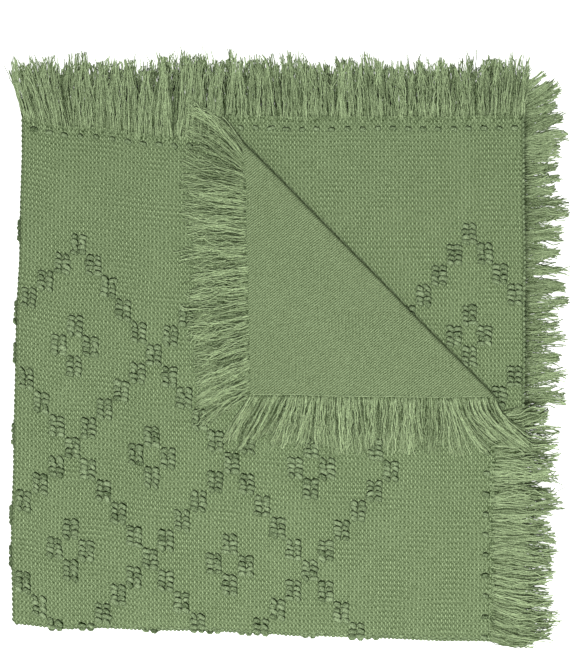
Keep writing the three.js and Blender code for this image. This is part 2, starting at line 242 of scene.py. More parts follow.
def ranged(tree, value, low, high, toLow, toHigh):
    made = tree.nodes.new("ShaderNodeMapRange")
    made.interpolation_type = "SMOOTHSTEP"
    labels = ("Value", "From Min", "From Max", "To Min", "To Max")
    for label, entry in zip(labels, (value, low, high, toLow, toHigh)):
        feed(tree, made.inputs[label], entry)
    return made.outputs["Result"]


def noise(tree, vector, scale, detail):
    made = tree.nodes.new("ShaderNodeTexNoise")
    feed(tree, made.inputs["Vector"], vector)
    feed(tree, made.inputs["Scale"], scale)
    made.inputs["Detail"].default_value = detail
    return made.outputs["Fac"]


def limited(tree, value, low, high):
    made = tree.nodes.new("ShaderNodeClamp")
    for socket, entry in zip(made.inputs, (value, low, high)):
        feed(tree, socket, entry)
    return made.outputs[0]


def blendColours(tree, share, first, second):
    made = tree.nodes.new("ShaderNodeMix")
    made.data_type = "RGBA"
    made.clamp_factor = False
    feed(tree, made.inputs["Factor"], share)
    feed(tree, made.inputs["A"], first)
    feed(tree, made.inputs["B"], second)
    return made.outputs["Result"]


# a group that takes a place and some values, and puts out values
def newGroup(name, place, inputs, outputs):
    group = bpy.data.node_groups.new(name, "ShaderNodeTree")
    group.interface.new_socket(place, in_out="INPUT", socket_type="NodeSocketVector")
    for label in inputs:
        group.interface.new_socket(label, in_out="INPUT", socket_type="NodeSocketFloat")
    for label in outputs:
        group.interface.new_socket(label, in_out="OUTPUT", socket_type="NodeSocketFloat")
    return group, group.nodes.new("NodeGroupInput").outputs, group.nodes.new("NodeGroupOutput").inputs


# in each cell of the weave light dashes of raised yarn, dark ones between them, and small crossings
# of yarn that stay much alike from cell to cell
def weaveGroup():
    group, given, result = newGroup(
        "wovenCells", "Cloth",
        ["Across", "Down", "Wander", "Slant", "Thin", "Short", "Long", "Fine", "Change"],
        ["Light", "Dark", "Crossings"],
    )
    split = group.nodes.new("ShaderNodeSeparateXYZ")
    feed(group, split.inputs[0], given["Cloth"])
    drift = centred(group, noise(group, given["Cloth"], 240.0, 1.0), given["Wander"])
    across = calc(group, "ADD", calc(group, "DIVIDE", split.outputs[0], given["Across"]), drift)
    down = calc(group, "SUBTRACT", calc(group, "DIVIDE", split.outputs[1], given["Down"]), drift)

    # a dash in each cell, with its own strength and place
    def dash(shiftAcross, shiftDown):
        lengthwise = calc(group, "SUBTRACT", down, shiftDown)
        within = calc(group, "SUBTRACT", lengthwise, calc(group, "ROUND", lengthwise))
        crosswise = calc(group, "SUBTRACT", calc(group, "SUBTRACT", across, shiftAcross),
                         calc(group, "MULTIPLY", within, given["Slant"]))
        cell = group.nodes.new("ShaderNodeCombineXYZ")
        for socket, along in zip(cell.inputs, (crosswise, lengthwise)):
            feed(group, socket, calc(group, "ROUND", along))
        luck = group.nodes.new("ShaderNodeTexWhiteNoise")
        feed(group, luck.inputs["Vector"], cell.outputs[0])
        own = group.nodes.new("ShaderNodeSeparateColor")
        feed(group, own.inputs[0], luck.outputs["Color"])
        strength = calc(group, "MULTIPLY_ADD", own.outputs[2], 0.5, 0.75)
        ways = ((crosswise, own.outputs[0], given["Thin"]), (lengthwise, own.outputs[1], given["Short"]))
        for along, astray, narrow in ways:
            placed = summed(group, along, centred(group, astray, 0.14))
            turned = calc(group, "COSINE", calc(group, "MULTIPLY", placed, 2 * math.pi))
            risen = calc(group, "POWER", calc(group, "MULTIPLY_ADD", turned, 0.5, 0.5), narrow)
            strength = calc(group, "MULTIPLY", strength, risen)
        return strength

    feed(group, result["Light"], calc(group, "MULTIPLY_ADD", dash(0.5, 0.5), 0.4, dash(0.0, 0.0)))
    feed(group, result["Dark"], calc(group, "MULTIPLY_ADD", dash(0.0, 0.5), 0.4, dash(0.5, 0.0)))

    # a way across the cell taken as a circle, so that the crossings meet at the cell's edges
    def circled(along, threads):
        angle = calc(group, "MULTIPLY", along, 2 * math.pi)
        return [calc(group, "MULTIPLY", calc(group, way, angle), threads) for way in ("COSINE", "SINE")]

    sheared = calc(group, "SUBTRACT", across, calc(group, "MULTIPLY", down, given["Slant"]))
    places = circled(sheared, 4 / (2 * math.pi)) + circled(down, given["Long"])
    changed = calc(group, "MULTIPLY", noise(group, given["Cloth"], 30.0, 0.0), given["Change"])
    places[0] = summed(group, places[0], changed)
    place = group.nodes.new("ShaderNodeCombineXYZ")
    for socket, along in zip(place.inputs, places):
        feed(group, socket, along)
    crossings = group.nodes.new("ShaderNodeTexNoise")
    crossings.noise_dimensions = "4D"
    crossings.inputs["Detail"].default_value = 0.0
    for label, value in (("Vector", place.outputs[0]), ("W", places[3]), ("Scale", given["Fine"])):
        feed(group, crossings.inputs[label], value)
    feed(group, result["Crossings"], crossings.outputs[0])
    return group


# loose cotton hairs: a fine height, a slow change of tone, small specks and larger patches
def fibreGroup():
    group, given, result = newGroup(
        "cottonHairs", "Place",
        ["Fine", "Broad", "Speck"],
        ["Hairs", "Fading", "Specks", "Patches"],
    )
    feed(group, result["Hairs"], noise(group, given["Place"], given["Fine"], 3.0))
    feed(group, result["Fading"], noise(group, given["Place"], given["Broad"], 2.0))
    feed(group, result["Patches"], noise(group, given["Place"], 260.0, 1.0))
    cells = group.nodes.new("ShaderNodeTexVoronoi")
    feed(group, cells.inputs["Vector"], given["Place"])
    feed(group, cells.inputs["Scale"], given["Speck"])
    split = group.nodes.new("ShaderNodeSeparateColor")
    feed(group, split.inputs[0], cells.outputs["Color"])
    feed(group, result["Specks"], split.outputs[0])
    return group


weaveCells = weaveGroup()
cottonHairs = fibreGroup()


def useGroup(tree, group, **values):
    made = tree.nodes.new("ShaderNodeGroup")
    made.node_tree = group
    for label, value in values.items():
        feed(tree, made.inputs[label], value)
    return made.outputs


def newMaterial(name):
    material = bpy.data.materials.new(name)
    material.use_nodes = True
    tree = material.node_tree
    shader = tree.nodes["Principled BSDF"]
    shader.inputs["Roughness"].default_value = 0.93
    shader.inputs["Specular IOR Level"].default_value = 0.0
    return material, tree, shader


def attributeOf(tree, name):
    made = tree.nodes.new("ShaderNodeAttribute")
    made.attribute_name = name
    return made.outputs["Fac"]


def bumpOf(tree, height, strength, distance):
    made = tree.nodes.new("ShaderNodeBump")
    made.inputs["Strength"].default_value = strength
    made.inputs["Distance"].default_value = distance
    feed(tree, made.inputs["Height"], height)
    return made.outputs["Normal"]


clothHairs = {"Fine": 1700.0, "Broad": 14.0, "Speck": 1700.0}
headingKnots = {"Fine": 700.0, "Broad": 14.0, "Speck": 620.0}
headingFrom, headingTo = 5.0, 12.0  # mm from the cloth's edge, where the heading gives way to the weave

# parts is how many cells of the weave there are to a block of the pattern, each way
clothLooks = {
    "cloth_face": {
        "dark": (33, 50, 13), "light": (170, 191, 145), "tone": 0.32,
        "parts": 4, "wander": 0.18, "slant": 0.0, "thin": 18.0, "short": 4.0, "raised": 1.05, "shaded": 0.1,
        "long": 0.8, "fine": 1.8, "change": 0.7, "crossings": 1.5,
        "speckle": 0.24, "hairs": 0.3, "fading": 0.06, "heading": 0.35, "bump": 0.6, "depth": 0.4,
    },
    "cloth_back": {
        "dark": (34, 50, 15), "light": (172, 192, 147), "tone": 0.343,
        "parts": 6, "wander": 0.2, "slant": 1.0, "thin": 8.0, "short": 1.6, "raised": 0.45, "shaded": 0.4,
        "long": 0.5, "fine": 1.6, "change": 1.4, "crossings": 0.8,
        "speckle": 0.3, "hairs": 0.3, "fading": 0.06, "heading": 0.0, "bump": 0.5, "depth": 0.4,
    },
}


# woven cloth: dashes of yarn on the piece's own p, q map, lost among knots in the heading along its edges
def clothMaterial(name):
    look = clothLooks[name]
    material, tree, shader = newMaterial(name)
    cloth = tree.nodes.new("ShaderNodeUVMap")
    cloth.uv_map = "flatCloth"
    split = tree.nodes.new("ShaderNodeSeparateXYZ")
    feed(tree, split.inputs[0], cloth.outputs[0])
    drawn = tree.nodes.new("ShaderNodeVectorMath")  # hairs drawn out along q
    drawn.operation = "MULTIPLY"
    feed(tree, drawn.inputs[0], cloth.outputs[0])
    feed(tree, drawn.inputs[1], (1.0, 0.7, 1.0))

    def fromRim(along, size):
        return calc(tree, "MINIMUM", along, calc(tree, "SUBTRACT", size * mm, along))

    labels = ("Wander", "Slant", "Thin", "Short", "Long", "Fine", "Change")
    weave = {label: look[label.lower()] for label in labels}
    weave["Across"] = throw["cellAcross"] / look["parts"] * mm
    weave["Down"] = throw["cellDown"] / look["parts"] * mm
    woven = useGroup(tree, weaveCells, Cloth=cloth.outputs[0], **weave)
    dashes = calc(tree, "MULTIPLY", woven["Light"], look["raised"])
    dashes = calc(tree, "MULTIPLY_ADD", woven["Dark"], -look["shaded"], dashes)
    rim = calc(tree, "MINIMUM", *map(fromRim, split.outputs, (throw["length"], throw["width"])))
    heading = ranged(tree, rim, headingFrom * mm, headingTo * mm, look["heading"], 0.0)
    hairs = useGroup(tree, cottonHairs, Place=drawn.outputs[0], **clothHairs)
    knots = useGroup(tree, cottonHairs, Place=drawn.outputs[0], **headingKnots)
    knotted = calc(tree, "MULTIPLY", calc(tree, "SUBTRACT", knots["Specks"], 0.55), heading)
    crossings = centred(tree, woven["Crossings"], look["crossings"])
    lit = summed(tree, dashes, crossings, centred(tree, hairs["Hairs"], look["hairs"]), knotted)
    specks = centred(tree, hairs["Specks"], look["speckle"])
    tone = summed(tree, lit, specks, centred(tree, hairs["Fading"], look["fading"]), look["tone"])
    tone = limited(tree, tone, 0.0, 2.0)  # past 1 for the lightest tips of the yarn
    shown = blendColours(tree, tone, linear(*look["dark"]), linear(*look["light"]))
    feed(tree, shader.inputs["Base Color"], shown)
    feed(tree, shader.inputs["Normal"], bumpOf(tree, lit, look["bump"], look["depth"] * mm))
    return material


# deep is the colour of the painted shade
yarnLooks = {
    "loop_yarn": {
        "dark": (36, 54, 19), "light": (170, 190, 147), "deep": (16, 34, 4),
        "fine": 2000.0, "grain": 1.8, "speck": 1600.0, "specks": 0.7, "fading": 0.15, "patchy": (0.3, 0.6),
    },
    "fringe_yarn": {
        "dark": (44, 62, 22), "light": (178, 198, 152), "deep": (22, 42, 10),
        "fine": 1600.0, "grain": 1.7, "speck": 1300.0, "specks": 0.5, "fading": 0.15, "patchy": (0.2, 0.5),
    },
}


# loose or looped yarn, each with its own tone, blended to a painted shade colour where it lies low between
# others
def yarnMaterial(name):
    look = yarnLooks[name]
    material, tree, shader = newMaterial(name)
    place = tree.nodes.new("ShaderNodeTexCoord").outputs["Object"]
    hairs = useGroup(tree, cottonHairs, Place=place, Fine=look["fine"], Broad=20.0, Speck=look["speck"])
    tone = summed(
        tree, attributeOf(tree, "tone"), centred(tree, hairs["Hairs"], look["grain"]),
        centred(tree, hairs["Fading"], look["fading"]), centred(tree, hairs["Specks"], look["specks"]),
    )
    shown = blendColours(tree, limited(tree, tone, 0.0, 1.6), linear(*look["dark"]), linear(*look["light"]))
    # the painted shade comes in patches
    patchy = ranged(tree, hairs["Patches"], *look["patchy"], 0.35, 1.15)
    deep = limited(tree, calc(tree, "MULTIPLY", attributeOf(tree, "sunk"), patchy), 0.0, 1.0)
    feed(tree, shader.inputs["Base Color"], blendColours(tree, deep, shown, linear(*look["deep"])))
    feed(tree, shader.inputs["Normal"], bumpOf(tree, hairs["Hairs"], 0.7, 0.4 * mm))
    return material


clothFace = clothMaterial("cloth_face")
clothBack = clothMaterial("cloth_back")
loopYarn = yarnMaterial("loop_yarn")
fringeYarn = yarnMaterial("fringe_yarn")
print("materials made")

# The cloth: one closed sheet on a net of p and q, finer where it is seen
clothNet = {
    "shown": 5.0, "inner": 5.5, "middle": 22.0, "under": 18.0, "edge": 1.3,
    "turnSteps": 8, "bendSteps": 12, "creaseSteps": 8,
}


def spaced(start, end, stepSize):
    return np.linspace(start, end, max(2, round((end - start) / stepSize) + 1))


def clothStations():
    c = clothNet
    alongP = np.unique(np.round(np.concatenate([
        [c["edge"], throw["length"] - c["edge"]],
        spaced(0, throw["leftTurn"], c["shown"]),
        np.linspace(throw["leftTurn"], leftTurnEnd, c["turnSteps"] + 1),
        spaced(leftTurnEnd, rightTurn, c["middle"]),
        np.linspace(rightTurn, rightTurnEnd, c["turnSteps"] + 1),
        spaced(rightTurnEnd, throw["length"], c["inner"]),
    ]), 6))
    flat = throw["width"] / 2
    upper = np.unique(np.append(spaced(0, 1, c["shown"] / flat), c["edge"] / flat))
    bend = np.linspace(0, math.pi, c["bendSteps"] + 1)[1:]
    lower = np.unique(np.append(spaced(0, 1, c["under"] / flat), 1 - c["edge"] / flat))[1:]
    kind = np.repeat([0, 1, 2], [len(upper), len(bend), len(lower)])
    at = np.concatenate([upper, bend, lower])
    p = np.repeat(alongP[:, None], len(at), 1)
    q = np.full_like(p, flat / 2)
    for _ in range(8):  # rows follow the fold line, which shifts a little with q
        x, mid, lift, line = sectionAt(p, q, np.zeros_like(p))
        start = line - math.pi * mid / 2
        end = start + math.pi * mid
        below = end + at * (throw["width"] - end)
        q = np.select([kind == 0, kind == 1], [at * start, start + at * mid], below)
    return p, q, kind


# cuts the patches along lines where the field has the given levels
def cutPatches(spots, patches, levels):
    for level in levels:
        value = list(creaseField(np.array(spots)[:, 0], np.array(spots)[:, 1]) - level)
        made = {}
        result = []
        for patch in patches:
            signs = [value[k] for k in patch]
            if min(signs) >= -1e-6 or max(signs) <= 1e-6:
                result.append(patch)
                continue
            ring = []
            for a, b in zip(patch, patch[1:] + patch[:1]):
                ring.append(a)
                if value[a] * value[b] < 0 and min(abs(value[a]), abs(value[b])) > 1e-6:
                    key = (min(a, b), max(a, b))
                    if key not in made:
                        t = value[a] / (value[a] - value[b])
                        spots.append([mix(spots[a][c], spots[b][c], t) for c in (0, 1)])
                        value.append(0.0)
                        made[key] = len(spots) - 1
                    ring.append(made[key])
            result.append([k for k in ring if value[k] <= 1e-6])
            result.append([k for k in ring if value[k] >= -1e-6])
        patches = result
    return patches


def clothPatches():
    p, q, kind = clothStations()
    rows, columns = p.shape
    index = np.arange(rows * columns).reshape(rows, columns)
    quads = np.stack([index[:-1, :-1], index[1:, :-1], index[1:, 1:], index[:-1, 1:]], -1).reshape(-1, 4)
    spots = np.stack([p.ravel(), q.ravel()], -1)
    field = creaseField(spots[:, 0], spots[:, 1])
    upper = np.repeat(kind[None, :] == 0, rows, 0).ravel() & (spots[:, 0] <= throw["leftTurn"])
    corners = field[quads]
    near = upper[quads].all(1) & (corners.max(1) > -15) & (corners.min(1) < creaseRun + 15)
    levels = np.linspace(0, creaseRun, clothNet["creaseSteps"] + 1)
    spotList = spots.tolist()
    cut = cutPatches(spotList, quads[near].tolist(), levels)
    return np.array(spotList), quads[~near].tolist() + cut


def makeCloth():
    spots, patches = clothPatches()
    count = len(spots)
    face = settle(placeAt(spots[:, 0], spots[:, 1], half))
    back = settle(placeAt(spots[:, 0], spots[:, 1], -half))
    rim = set()
    for patch in patches:
        for a, b in zip(patch, patch[1:] + patch[:1]):
            if (b, a) in rim:
                rim.remove((b, a))
            else:
                rim.add((a, b))
    under = [[k + count for k in reversed(patch)] for patch in patches]
    edge = [[a, a + count, b + count, b] for a, b in sorted(rim)]
    mesh = bpy.data.meshes.new("throw_cloth")
    mesh.from_pydata((np.concatenate([face, back]) * mm).tolist(), [], patches + under + edge)
    mesh.materials.append(clothFace)
    mesh.materials.append(clothBack)
    mesh.polygons.foreach_set("material_index", np.repeat([0, 1, 0], [len(patches), len(under), len(edge)]))
    mesh.polygons.foreach_set("use_smooth", np.ones(len(mesh.polygons), bool))
    corner = np.zeros(len(mesh.loops), int)
    mesh.loops.foreach_get("vertex_index", corner)
    flatMap = mesh.uv_layers.new(name="flatCloth")
    flatMap.data.foreach_set("uv", (spots[corner % count] * mm).ravel())
    mesh.update()
    piece = bpy.data.objects.new("woven_cloth", mesh)
    bpy.context.scene.collection.objects.link(piece)
    return piece


cloth = makeCloth()
print("cloth:", len(cloth.data.polygons), "faces")


# Geometry Nodes parts

def newTree(name, inputs):
    tree = bpy.data.node_groups.new(name, "GeometryNodeTree")
    tree.interface.new_socket("Geometry", in_out="INPUT", socket_type="NodeSocketGeometry")
    for label, kind in inputs:
        tree.interface.new_socket(label, in_out="INPUT", socket_type=kind)
    tree.interface.new_socket("Geometry", in_out="OUTPUT", socket_type="NodeSocketGeometry")
    given = tree.nodes.new("NodeGroupInput").outputs
    result = tree.nodes.new("NodeGroupOutput").inputs
    return tree, given, result


def named(tree, name, kind):
    made = tree.nodes.new("GeometryNodeInputNamedAttribute")
    made.data_type = kind
    made.inputs["Name"].default_value = name
    return made.outputs["Attribute"]


# realized, smooth and given its material, as every tree here ends
def finishTree(tree, given, result, geometry):
    realized = tree.nodes.new("GeometryNodeRealizeInstances")
    rounded = tree.nodes.new("GeometryNodeSetShadeSmooth")
    dressed = tree.nodes.new("GeometryNodeSetMaterial")
    tree.links.new(geometry, realized.inputs["Geometry"])
    tree.links.new(realized.outputs["Geometry"], rounded.inputs["Geometry"])
    tree.links.new(rounded.outputs["Geometry"], dressed.inputs["Geometry"])
    tree.links.new(given["Yarn"], dressed.inputs["Material"])
    tree.links.new(dressed.outputs["Geometry"], result["Geometry"])


# one shape on each point, turned and sized by the point's own attributes
def shapeTree():
    inputs = [("Shape", "NodeSocketObject"), ("Yarn", "NodeSocketMaterial")]
    tree, given, result = newTree("shapeOnEachPoint", inputs)
    shape = tree.nodes.new("GeometryNodeObjectInfo")
    tree.links.new(given["Shape"], shape.inputs["Object"])
    turn = tree.nodes.new("FunctionNodeEulerToRotation")
    tree.links.new(named(tree, "turn", "FLOAT_VECTOR"), turn.inputs[0])
    placed = tree.nodes.new("GeometryNodeInstanceOnPoints")
    tree.links.new(given["Geometry"], placed.inputs["Points"])
    tree.links.new(shape.outputs["Geometry"], placed.inputs["Instance"])
    tree.links.new(turn.outputs[0], placed.inputs["Rotation"])
    tree.links.new(named(tree, "size", "FLOAT_VECTOR"), placed.inputs["Scale"])
    finishTree(tree, given, result, placed.outputs["Instances"])
    return tree


# a thin yarn along each line of points, as thick as the points say
def yarnTree():
    inputs = [("Sides", "NodeSocketInt"), ("Yarn", "NodeSocketMaterial")]
    tree, given, result = newTree("yarnAlongLines", inputs)
    lines = tree.nodes.new("GeometryNodeMeshToCurve")
    ring = tree.nodes.new("GeometryNodeCurvePrimitiveCircle")
    ring.inputs["Radius"].default_value = 1.0
    tube = tree.nodes.new("GeometryNodeCurveToMesh")
    tube.inputs["Fill Caps"].default_value = True
    tree.links.new(given["Geometry"], lines.inputs["Mesh"])
    tree.links.new(given["Sides"], ring.inputs["Resolution"])
    tree.links.new(lines.outputs["Curve"], tube.inputs["Curve"])
    tree.links.new(ring.outputs["Curve"], tube.inputs["Profile Curve"])
    tree.links.new(named(tree, "thick", "FLOAT"), tube.inputs["Scale"])
    finishTree(tree, given, result, tube.outputs["Mesh"])
    return tree


shapeOnEachPoint = shapeTree()
yarnAlongLines = yarnTree()


# runs a tree on a piece and leaves its result as a plain mesh
def grow(piece, tree, values):
    grown = piece.modifiers.new("grow", "NODES")
    grown.node_group = tree
    for socket in tree.interface.items_tree:
        if socket.in_out == "INPUT" and socket.name in values:
            grown[socket.identifier] = values[socket.name]
    piece.update_tag()
    graph = bpy.context.evaluated_depsgraph_get()
    result = piece.evaluated_get(graph)
    mesh = bpy.data.meshes.new_from_object(result, preserve_all_data_layers=True, depsgraph=graph)
    piece.modifiers.remove(grown)
    seed = piece.data
    piece.data = mesh
    bpy.data.meshes.remove(seed)
    mesh.name = piece.name
    return piece


def seedPiece(name, points, edges, floats, vectors):
    mesh = bpy.data.meshes.new(name + "_seed")
    mesh.from_pydata((points * mm).tolist(), edges, [])
    for attributes, kind, field in ((floats, "FLOAT", "value"), (vectors, "FLOAT_VECTOR", "vector")):
        for label, values in attributes.items():
            data = mesh.attributes.new(label, kind, "POINT").data
            data.foreach_set(field, np.ravel(values).astype(np.float32))
    piece = bpy.data.objects.new(name, mesh)
    bpy.context.scene.collection.objects.link(piece)
    return piece


# XYZ angles of the turn that takes the world's axes to the given ones, after a spin about up
def anglesOf(xAxis, yAxis, up, spin):
    c, s = np.cos(spin)[:, None], np.sin(spin)[:, None]
    xTurned, yTurned = xAxis * c + yAxis * s, yAxis * c - xAxis * s
    aboutX = np.arctan2(yTurned[:, 2], up[:, 2])
    aboutY = -np.arcsin(np.clip(xTurned[:, 2], -1, 1))
    aboutZ = np.arctan2(xTurned[:, 1], xTurned[:, 0])
    return np.stack([aboutX, aboutY, aboutZ], -1)


# a shape made of rings along x, closed at both ends, with how much painted shade each of its points has
def ringShape(name, rings, sunk):
    points = np.concatenate([rings[0].mean(0)[None], *rings, rings[-1].mean(0)[None]])
    sides, last = len(rings[0]), len(points) - 1
    faces = []
    for k in range(sides):
        following = (k + 1) % sides
        faces.append([0, 1 + following, 1 + k])
        faces.append([last, last - sides + k, last - sides + following])
        for r in range(len(rings) - 1):
            a, b = 1 + r * sides, 1 + (r + 1) * sides
            faces.append([a + k, a + following, b + following, b + k])
    mesh = bpy.data.meshes.new(name)
    mesh.from_pydata((points * mm).tolist(), [], faces)
    shares = np.concatenate([[1.0], np.ravel(sunk), [1.0]]).astype(np.float32)
    mesh.attributes.new("sunk", "FLOAT", "POINT").data.foreach_set("value", shares)
    shape = bpy.data.objects.new(name, mesh)
    bpy.context.scene.collection.objects.link(shape)
    return shape


# The raised pattern: blocks of two by four plump loops on a trellis of diamonds, mm on the flat cloth
pattern = {
    "across": throw["cellAcross"], "down": throw["cellDown"], "period": 10, "right": 26.55, "top": 5.8,
    "firstColumn": -50, "lastColumn": 20, "lastRow": 40,
    "loopLong": 7.7, "loopWide": 4.9, "loopHigh": 2.6, "loopBow": 0.8, "loopTilt": -0.36,
    "loopTone": 0.43, "loopShade": (0.7, 1.4), "atFold": [(-4, 0)], "onFold": 1.4,
    "stitchEnd": 11.2, "stitchInner": 14.4, "stitchSide": 9.5, "stitchSize": 0.86, "stitchTone": 0.37,
    "endStitches": 83, "sideStitches": 24, "firstStitch": (0.51, 0.8),
}


# a loop's section from crown round to its lower side, up its upper side, and its rings from right to left:
# shares of half width or length, of height, and of painted shade; the painted shade is darkest above and at
# the ends
loopSection = [(0.0, 1.0, 0.0), (0.62, 0.9, 0.0), (0.95, 0.45, 0.1), (1.15, 0.04, 0.4),
               (-1.35, 0.04, 1.0), (-0.95, 0.5, 0.95), (-0.65, 0.9, 0.1)]
loopRings = [(-1.22, 0.7, 0.03, 0.6), (-0.95, 0.82, 0.5, 0.15), (-0.55, 1.0, 1.0, 0.0),
             (0.55, 1.0, 1.0, 0.0), (0.95, 0.8, 0.5, 0.0), (1.15, 0.6, 0.03, 0.45)]


def loopShape():
    section = np.array(loopSection)
    rings, sunk = [], []
    for t, wide, high, deep in loopRings:
        rings.append(np.stack([
            np.full(len(section), t * pattern["loopLong"] / 2),
            pattern["loopBow"] * (t * t - 0.3) + 0.5 * pattern["loopWide"] * wide * section[:, 0],
            pattern["loopHigh"] * high * section[:, 1],
        ], -1))
        sunk.append(np.maximum(section[:, 2], deep))
    return ringShape("loop_shape", rings, sunk)


# whether the chart has a block in column i, row j
def charted(i, j):
    w, mid = pattern, pattern["period"] // 2

    def nearest(k, shift):
        return np.round((k - shift) / w["period"]) * w["period"] + shift

    def inRing(shiftI, shiftJ):
        centreI, centreJ = nearest(i, shiftI), nearest(j, shiftJ)
        inColumns = (centreI < w["lastColumn"]) & (centreI > w["firstColumn"])
        whole = inColumns & (centreJ > 0) & (centreJ < w["lastRow"])
        return whole & (abs(i - centreI) + abs(j - centreJ) == 1)

    inField = (i <= w["lastColumn"]) & (i >= w["firstColumn"]) & (j >= 0) & (j <= w["lastRow"])
    onTrellis = abs(i - nearest(i, 0)) + abs(j - nearest(j, mid)) == mid
    atFold = sum((i == a) & (j == b) for a, b in w["atFold"]) > 0
    return inField & (onTrellis | inRing(0, mid) | inRing(mid, 0) | atFold)


# what can be seen of the patterned face: the outer panel, the bared inner panel and the folds
def shownOnFace(p, q):
    x, y, z, base, angle = laidAt(p, q, 0.0)
    field = pastCrease(x, y)
    covered = (x > -20) & (y > -24)  # by the turned corner
    outer = (p < throw["leftTurn"]) & (angle < 2.0) & (field < -1) & ~((angle < 0) & covered)
    leftSide = (p >= throw["leftTurn"]) & (p < leftTurnEnd - 1.5)
    rightSide = (p > rightTurn + 1.5) & (p < rightTurnEnd)
    inner = (p >= rightTurnEnd) & (angle < 0) & (field > 2)
    return outer | inner | ((leftSide | rightSide) & ((angle < 0) | (angle > math.pi)))


def loopSpots():
    columns = np.arange(pattern["firstColumn"], pattern["lastColumn"] + 1)
    i, j = np.meshgrid(columns, np.arange(pattern["lastRow"] + 1), indexing="ij")
    i, j = i[charted(i, j)], j[charted(i, j)]
    centreP = (pattern["right"] - i) * pattern["across"]
    centreQ = (pattern["top"] + j) * pattern["down"]
    column, row = np.meshgrid([-0.25, 0.25], [-0.375, -0.125, 0.125, 0.375])
    p = (centreP[:, None] + column.ravel() * pattern["across"]).ravel()
    q = (centreQ[:, None] + row.ravel() * pattern["down"]).ravel()
    return p, q, np.ones_like(p)


# small border stitches, one to a cell, along the upper end and the free side
def stitchSpots():
    firstOnEnd, firstOnSide = pattern["firstStitch"]
    endP = (np.arange(pattern["endStitches"]) + firstOnEnd) * pattern["across"]
    sideQ = (np.arange(pattern["sideStitches"]) + firstOnSide) * pattern["down"]
    p = np.concatenate([endP, np.full_like(sideQ, pattern["stitchSide"])])
    q = np.concatenate([np.where(endP < rightTurn, pattern["stitchEnd"], pattern["stitchInner"]), sideQ])
    return p, q, np.full_like(p, pattern["stitchSize"])


def makeLoops():
    p, q, size = (np.concatenate(pair) for pair in zip(loopSpots(), stitchSpots()))
    inside = (p > 2) & (p < throw["length"] - 2) & (q > 2) & (q < throw["width"] - 2)
    clear = laidAt(p, q, half)[2] > 5.5  # none under the edge of the lowest layer
    shown = inside & clear & shownOnFace(p, q)
    p, q, size = p[shown], q[shown], size[shown]
    count = len(p)
    p = p + chance.normal(0, 0.35, count)
    q = q + chance.normal(0, 0.3, count)
    stitch = size < 1
    at, xAxis, yAxis, up = axesAt(p, q, half)
    tilt = pattern["loopTilt"] * np.where(stitch, 0.4, 1)
    turn = anglesOf(xAxis, yAxis, up, tilt + chance.normal(0, 0.24, count))
    sizes = size[:, None] * (1 + chance.normal(0, 0.1, (count, 3)))
    onLeft = (p > throw["leftTurn"] + 2) & (p < leftTurnEnd)
    onBottom = (p < throw["leftTurn"]) & (laidAt(p, q, half)[4] > 0.6)
    bulging = onLeft | onBottom  # these stand out past the fold and are less in shade
    sizes[:, 2] *= np.where(bulging, pattern["onFold"], 1)
    tone = np.where(stitch, pattern["stitchTone"], pattern["loopTone"]) + chance.normal(0, 0.07, count)
    piece = seedPiece("pattern_loops", at, [], {"tone": tone}, {"turn": turn, "size": sizes})
    shape = loopShape()
    grow(piece, shapeOnEachPoint, {"Shape": shape, "Yarn": loopYarn})
    # each loop's painted shade, scaled loop by loop
    sunk = piece.data.attributes["sunk"].data
    deep = np.zeros(len(sunk), np.float32)
    sunk.foreach_get("value", deep)
    shade = chance.uniform(*pattern["loopShade"], count)  # painted shade, stronger on some loops than others
    shade = shade * np.where(stitch, 1.2, 1) * np.where(bulging, 0.5, 1)
    shade = np.repeat(shade, len(shape.data.vertices))
    sunk.foreach_set("value", np.clip(deep * shade, 0, 1).astype(np.float32))
    bpy.data.objects.remove(shape)
    return piece, at


loops, loopsAt = makeLoops()
print("loops:", len(loopsAt), "with", len(loops.data.polygons), "faces")

# Ribs of the weave that stand out along the folds
ribs = {
    "across": throw["cellAcross"] / 4, "down": throw["cellDown"] / 4, "wide": 4.2, "tall": 4.6, "high": 2.2,
    "lower": 0.55,  # share of the height on the left and bottom folds
    "tone": 0.51,
}


def ribShape():
    around = np.linspace(0, 2 * math.pi, 6, endpoint=False)
    rings = []
    for share, height in ((1.0, -0.25), (0.85, 0.45), (0.45, 0.88)):
        rings.append(np.stack([
            0.5 * ribs["wide"] * share * np.cos(around),
            0.5 * ribs["tall"] * share * np.sin(around),
            np.full(6, height * ribs["high"]),
        ], -1))
    # painted shade at the rib's base
    return ringShape("rib_shape", rings, np.repeat([0.8, 0.1, 0.0], 6))


def ribSpots():
    columns = np.arange(math.ceil(throw["length"] / ribs["across"]))
    i, j = np.meshgrid(columns, np.arange(math.ceil(throw["width"] / ribs["down"])), indexing="ij")
    p = i.ravel() * ribs["across"]
    q = (j.ravel() + 0.5 * (i.ravel() % 2)) * ribs["down"]
    x, y, z, base, angle = laidAt(p, q, half)
    onLeft = (p > throw["leftTurn"] + 1.2) & (p < leftTurnEnd + 3)
    onRight = (p > rightTurn - 3) & (p < rightTurnEnd - 1.2)
    onBottom = (p < throw["leftTurn"]) & (angle > 0.8) & (angle < 2.7)
    inside = (p > 3) & (q > 5) & (q < throw["width"] - 5) & (z > 3.0)
    chosen = inside & (onLeft | onRight | onBottom)
    return p[chosen], q[chosen]


def makeRibs():
    p, q = ribSpots()
    count = len(p)
    at, xAxis, yAxis, up = axesAt(p, q, half)
    turn = anglesOf(xAxis, yAxis, up, chance.normal(0, 0.08, count))
    sizes = 1 + chance.normal(0, 0.08, (count, 3))
    sizes[:, 2] *= np.where(p < rightTurn - 3, ribs["lower"], 1)
    tone = ribs["tone"] + chance.normal(0, 0.08, count)
    piece = seedPiece("fold_ribs", at, [], {"tone": tone}, {"turn": turn, "size": sizes})
    shape = ribShape()
    grow(piece, shapeOnEachPoint, {"Shape": shape, "Yarn": loopYarn})
    bpy.data.objects.remove(shape)
    return piece


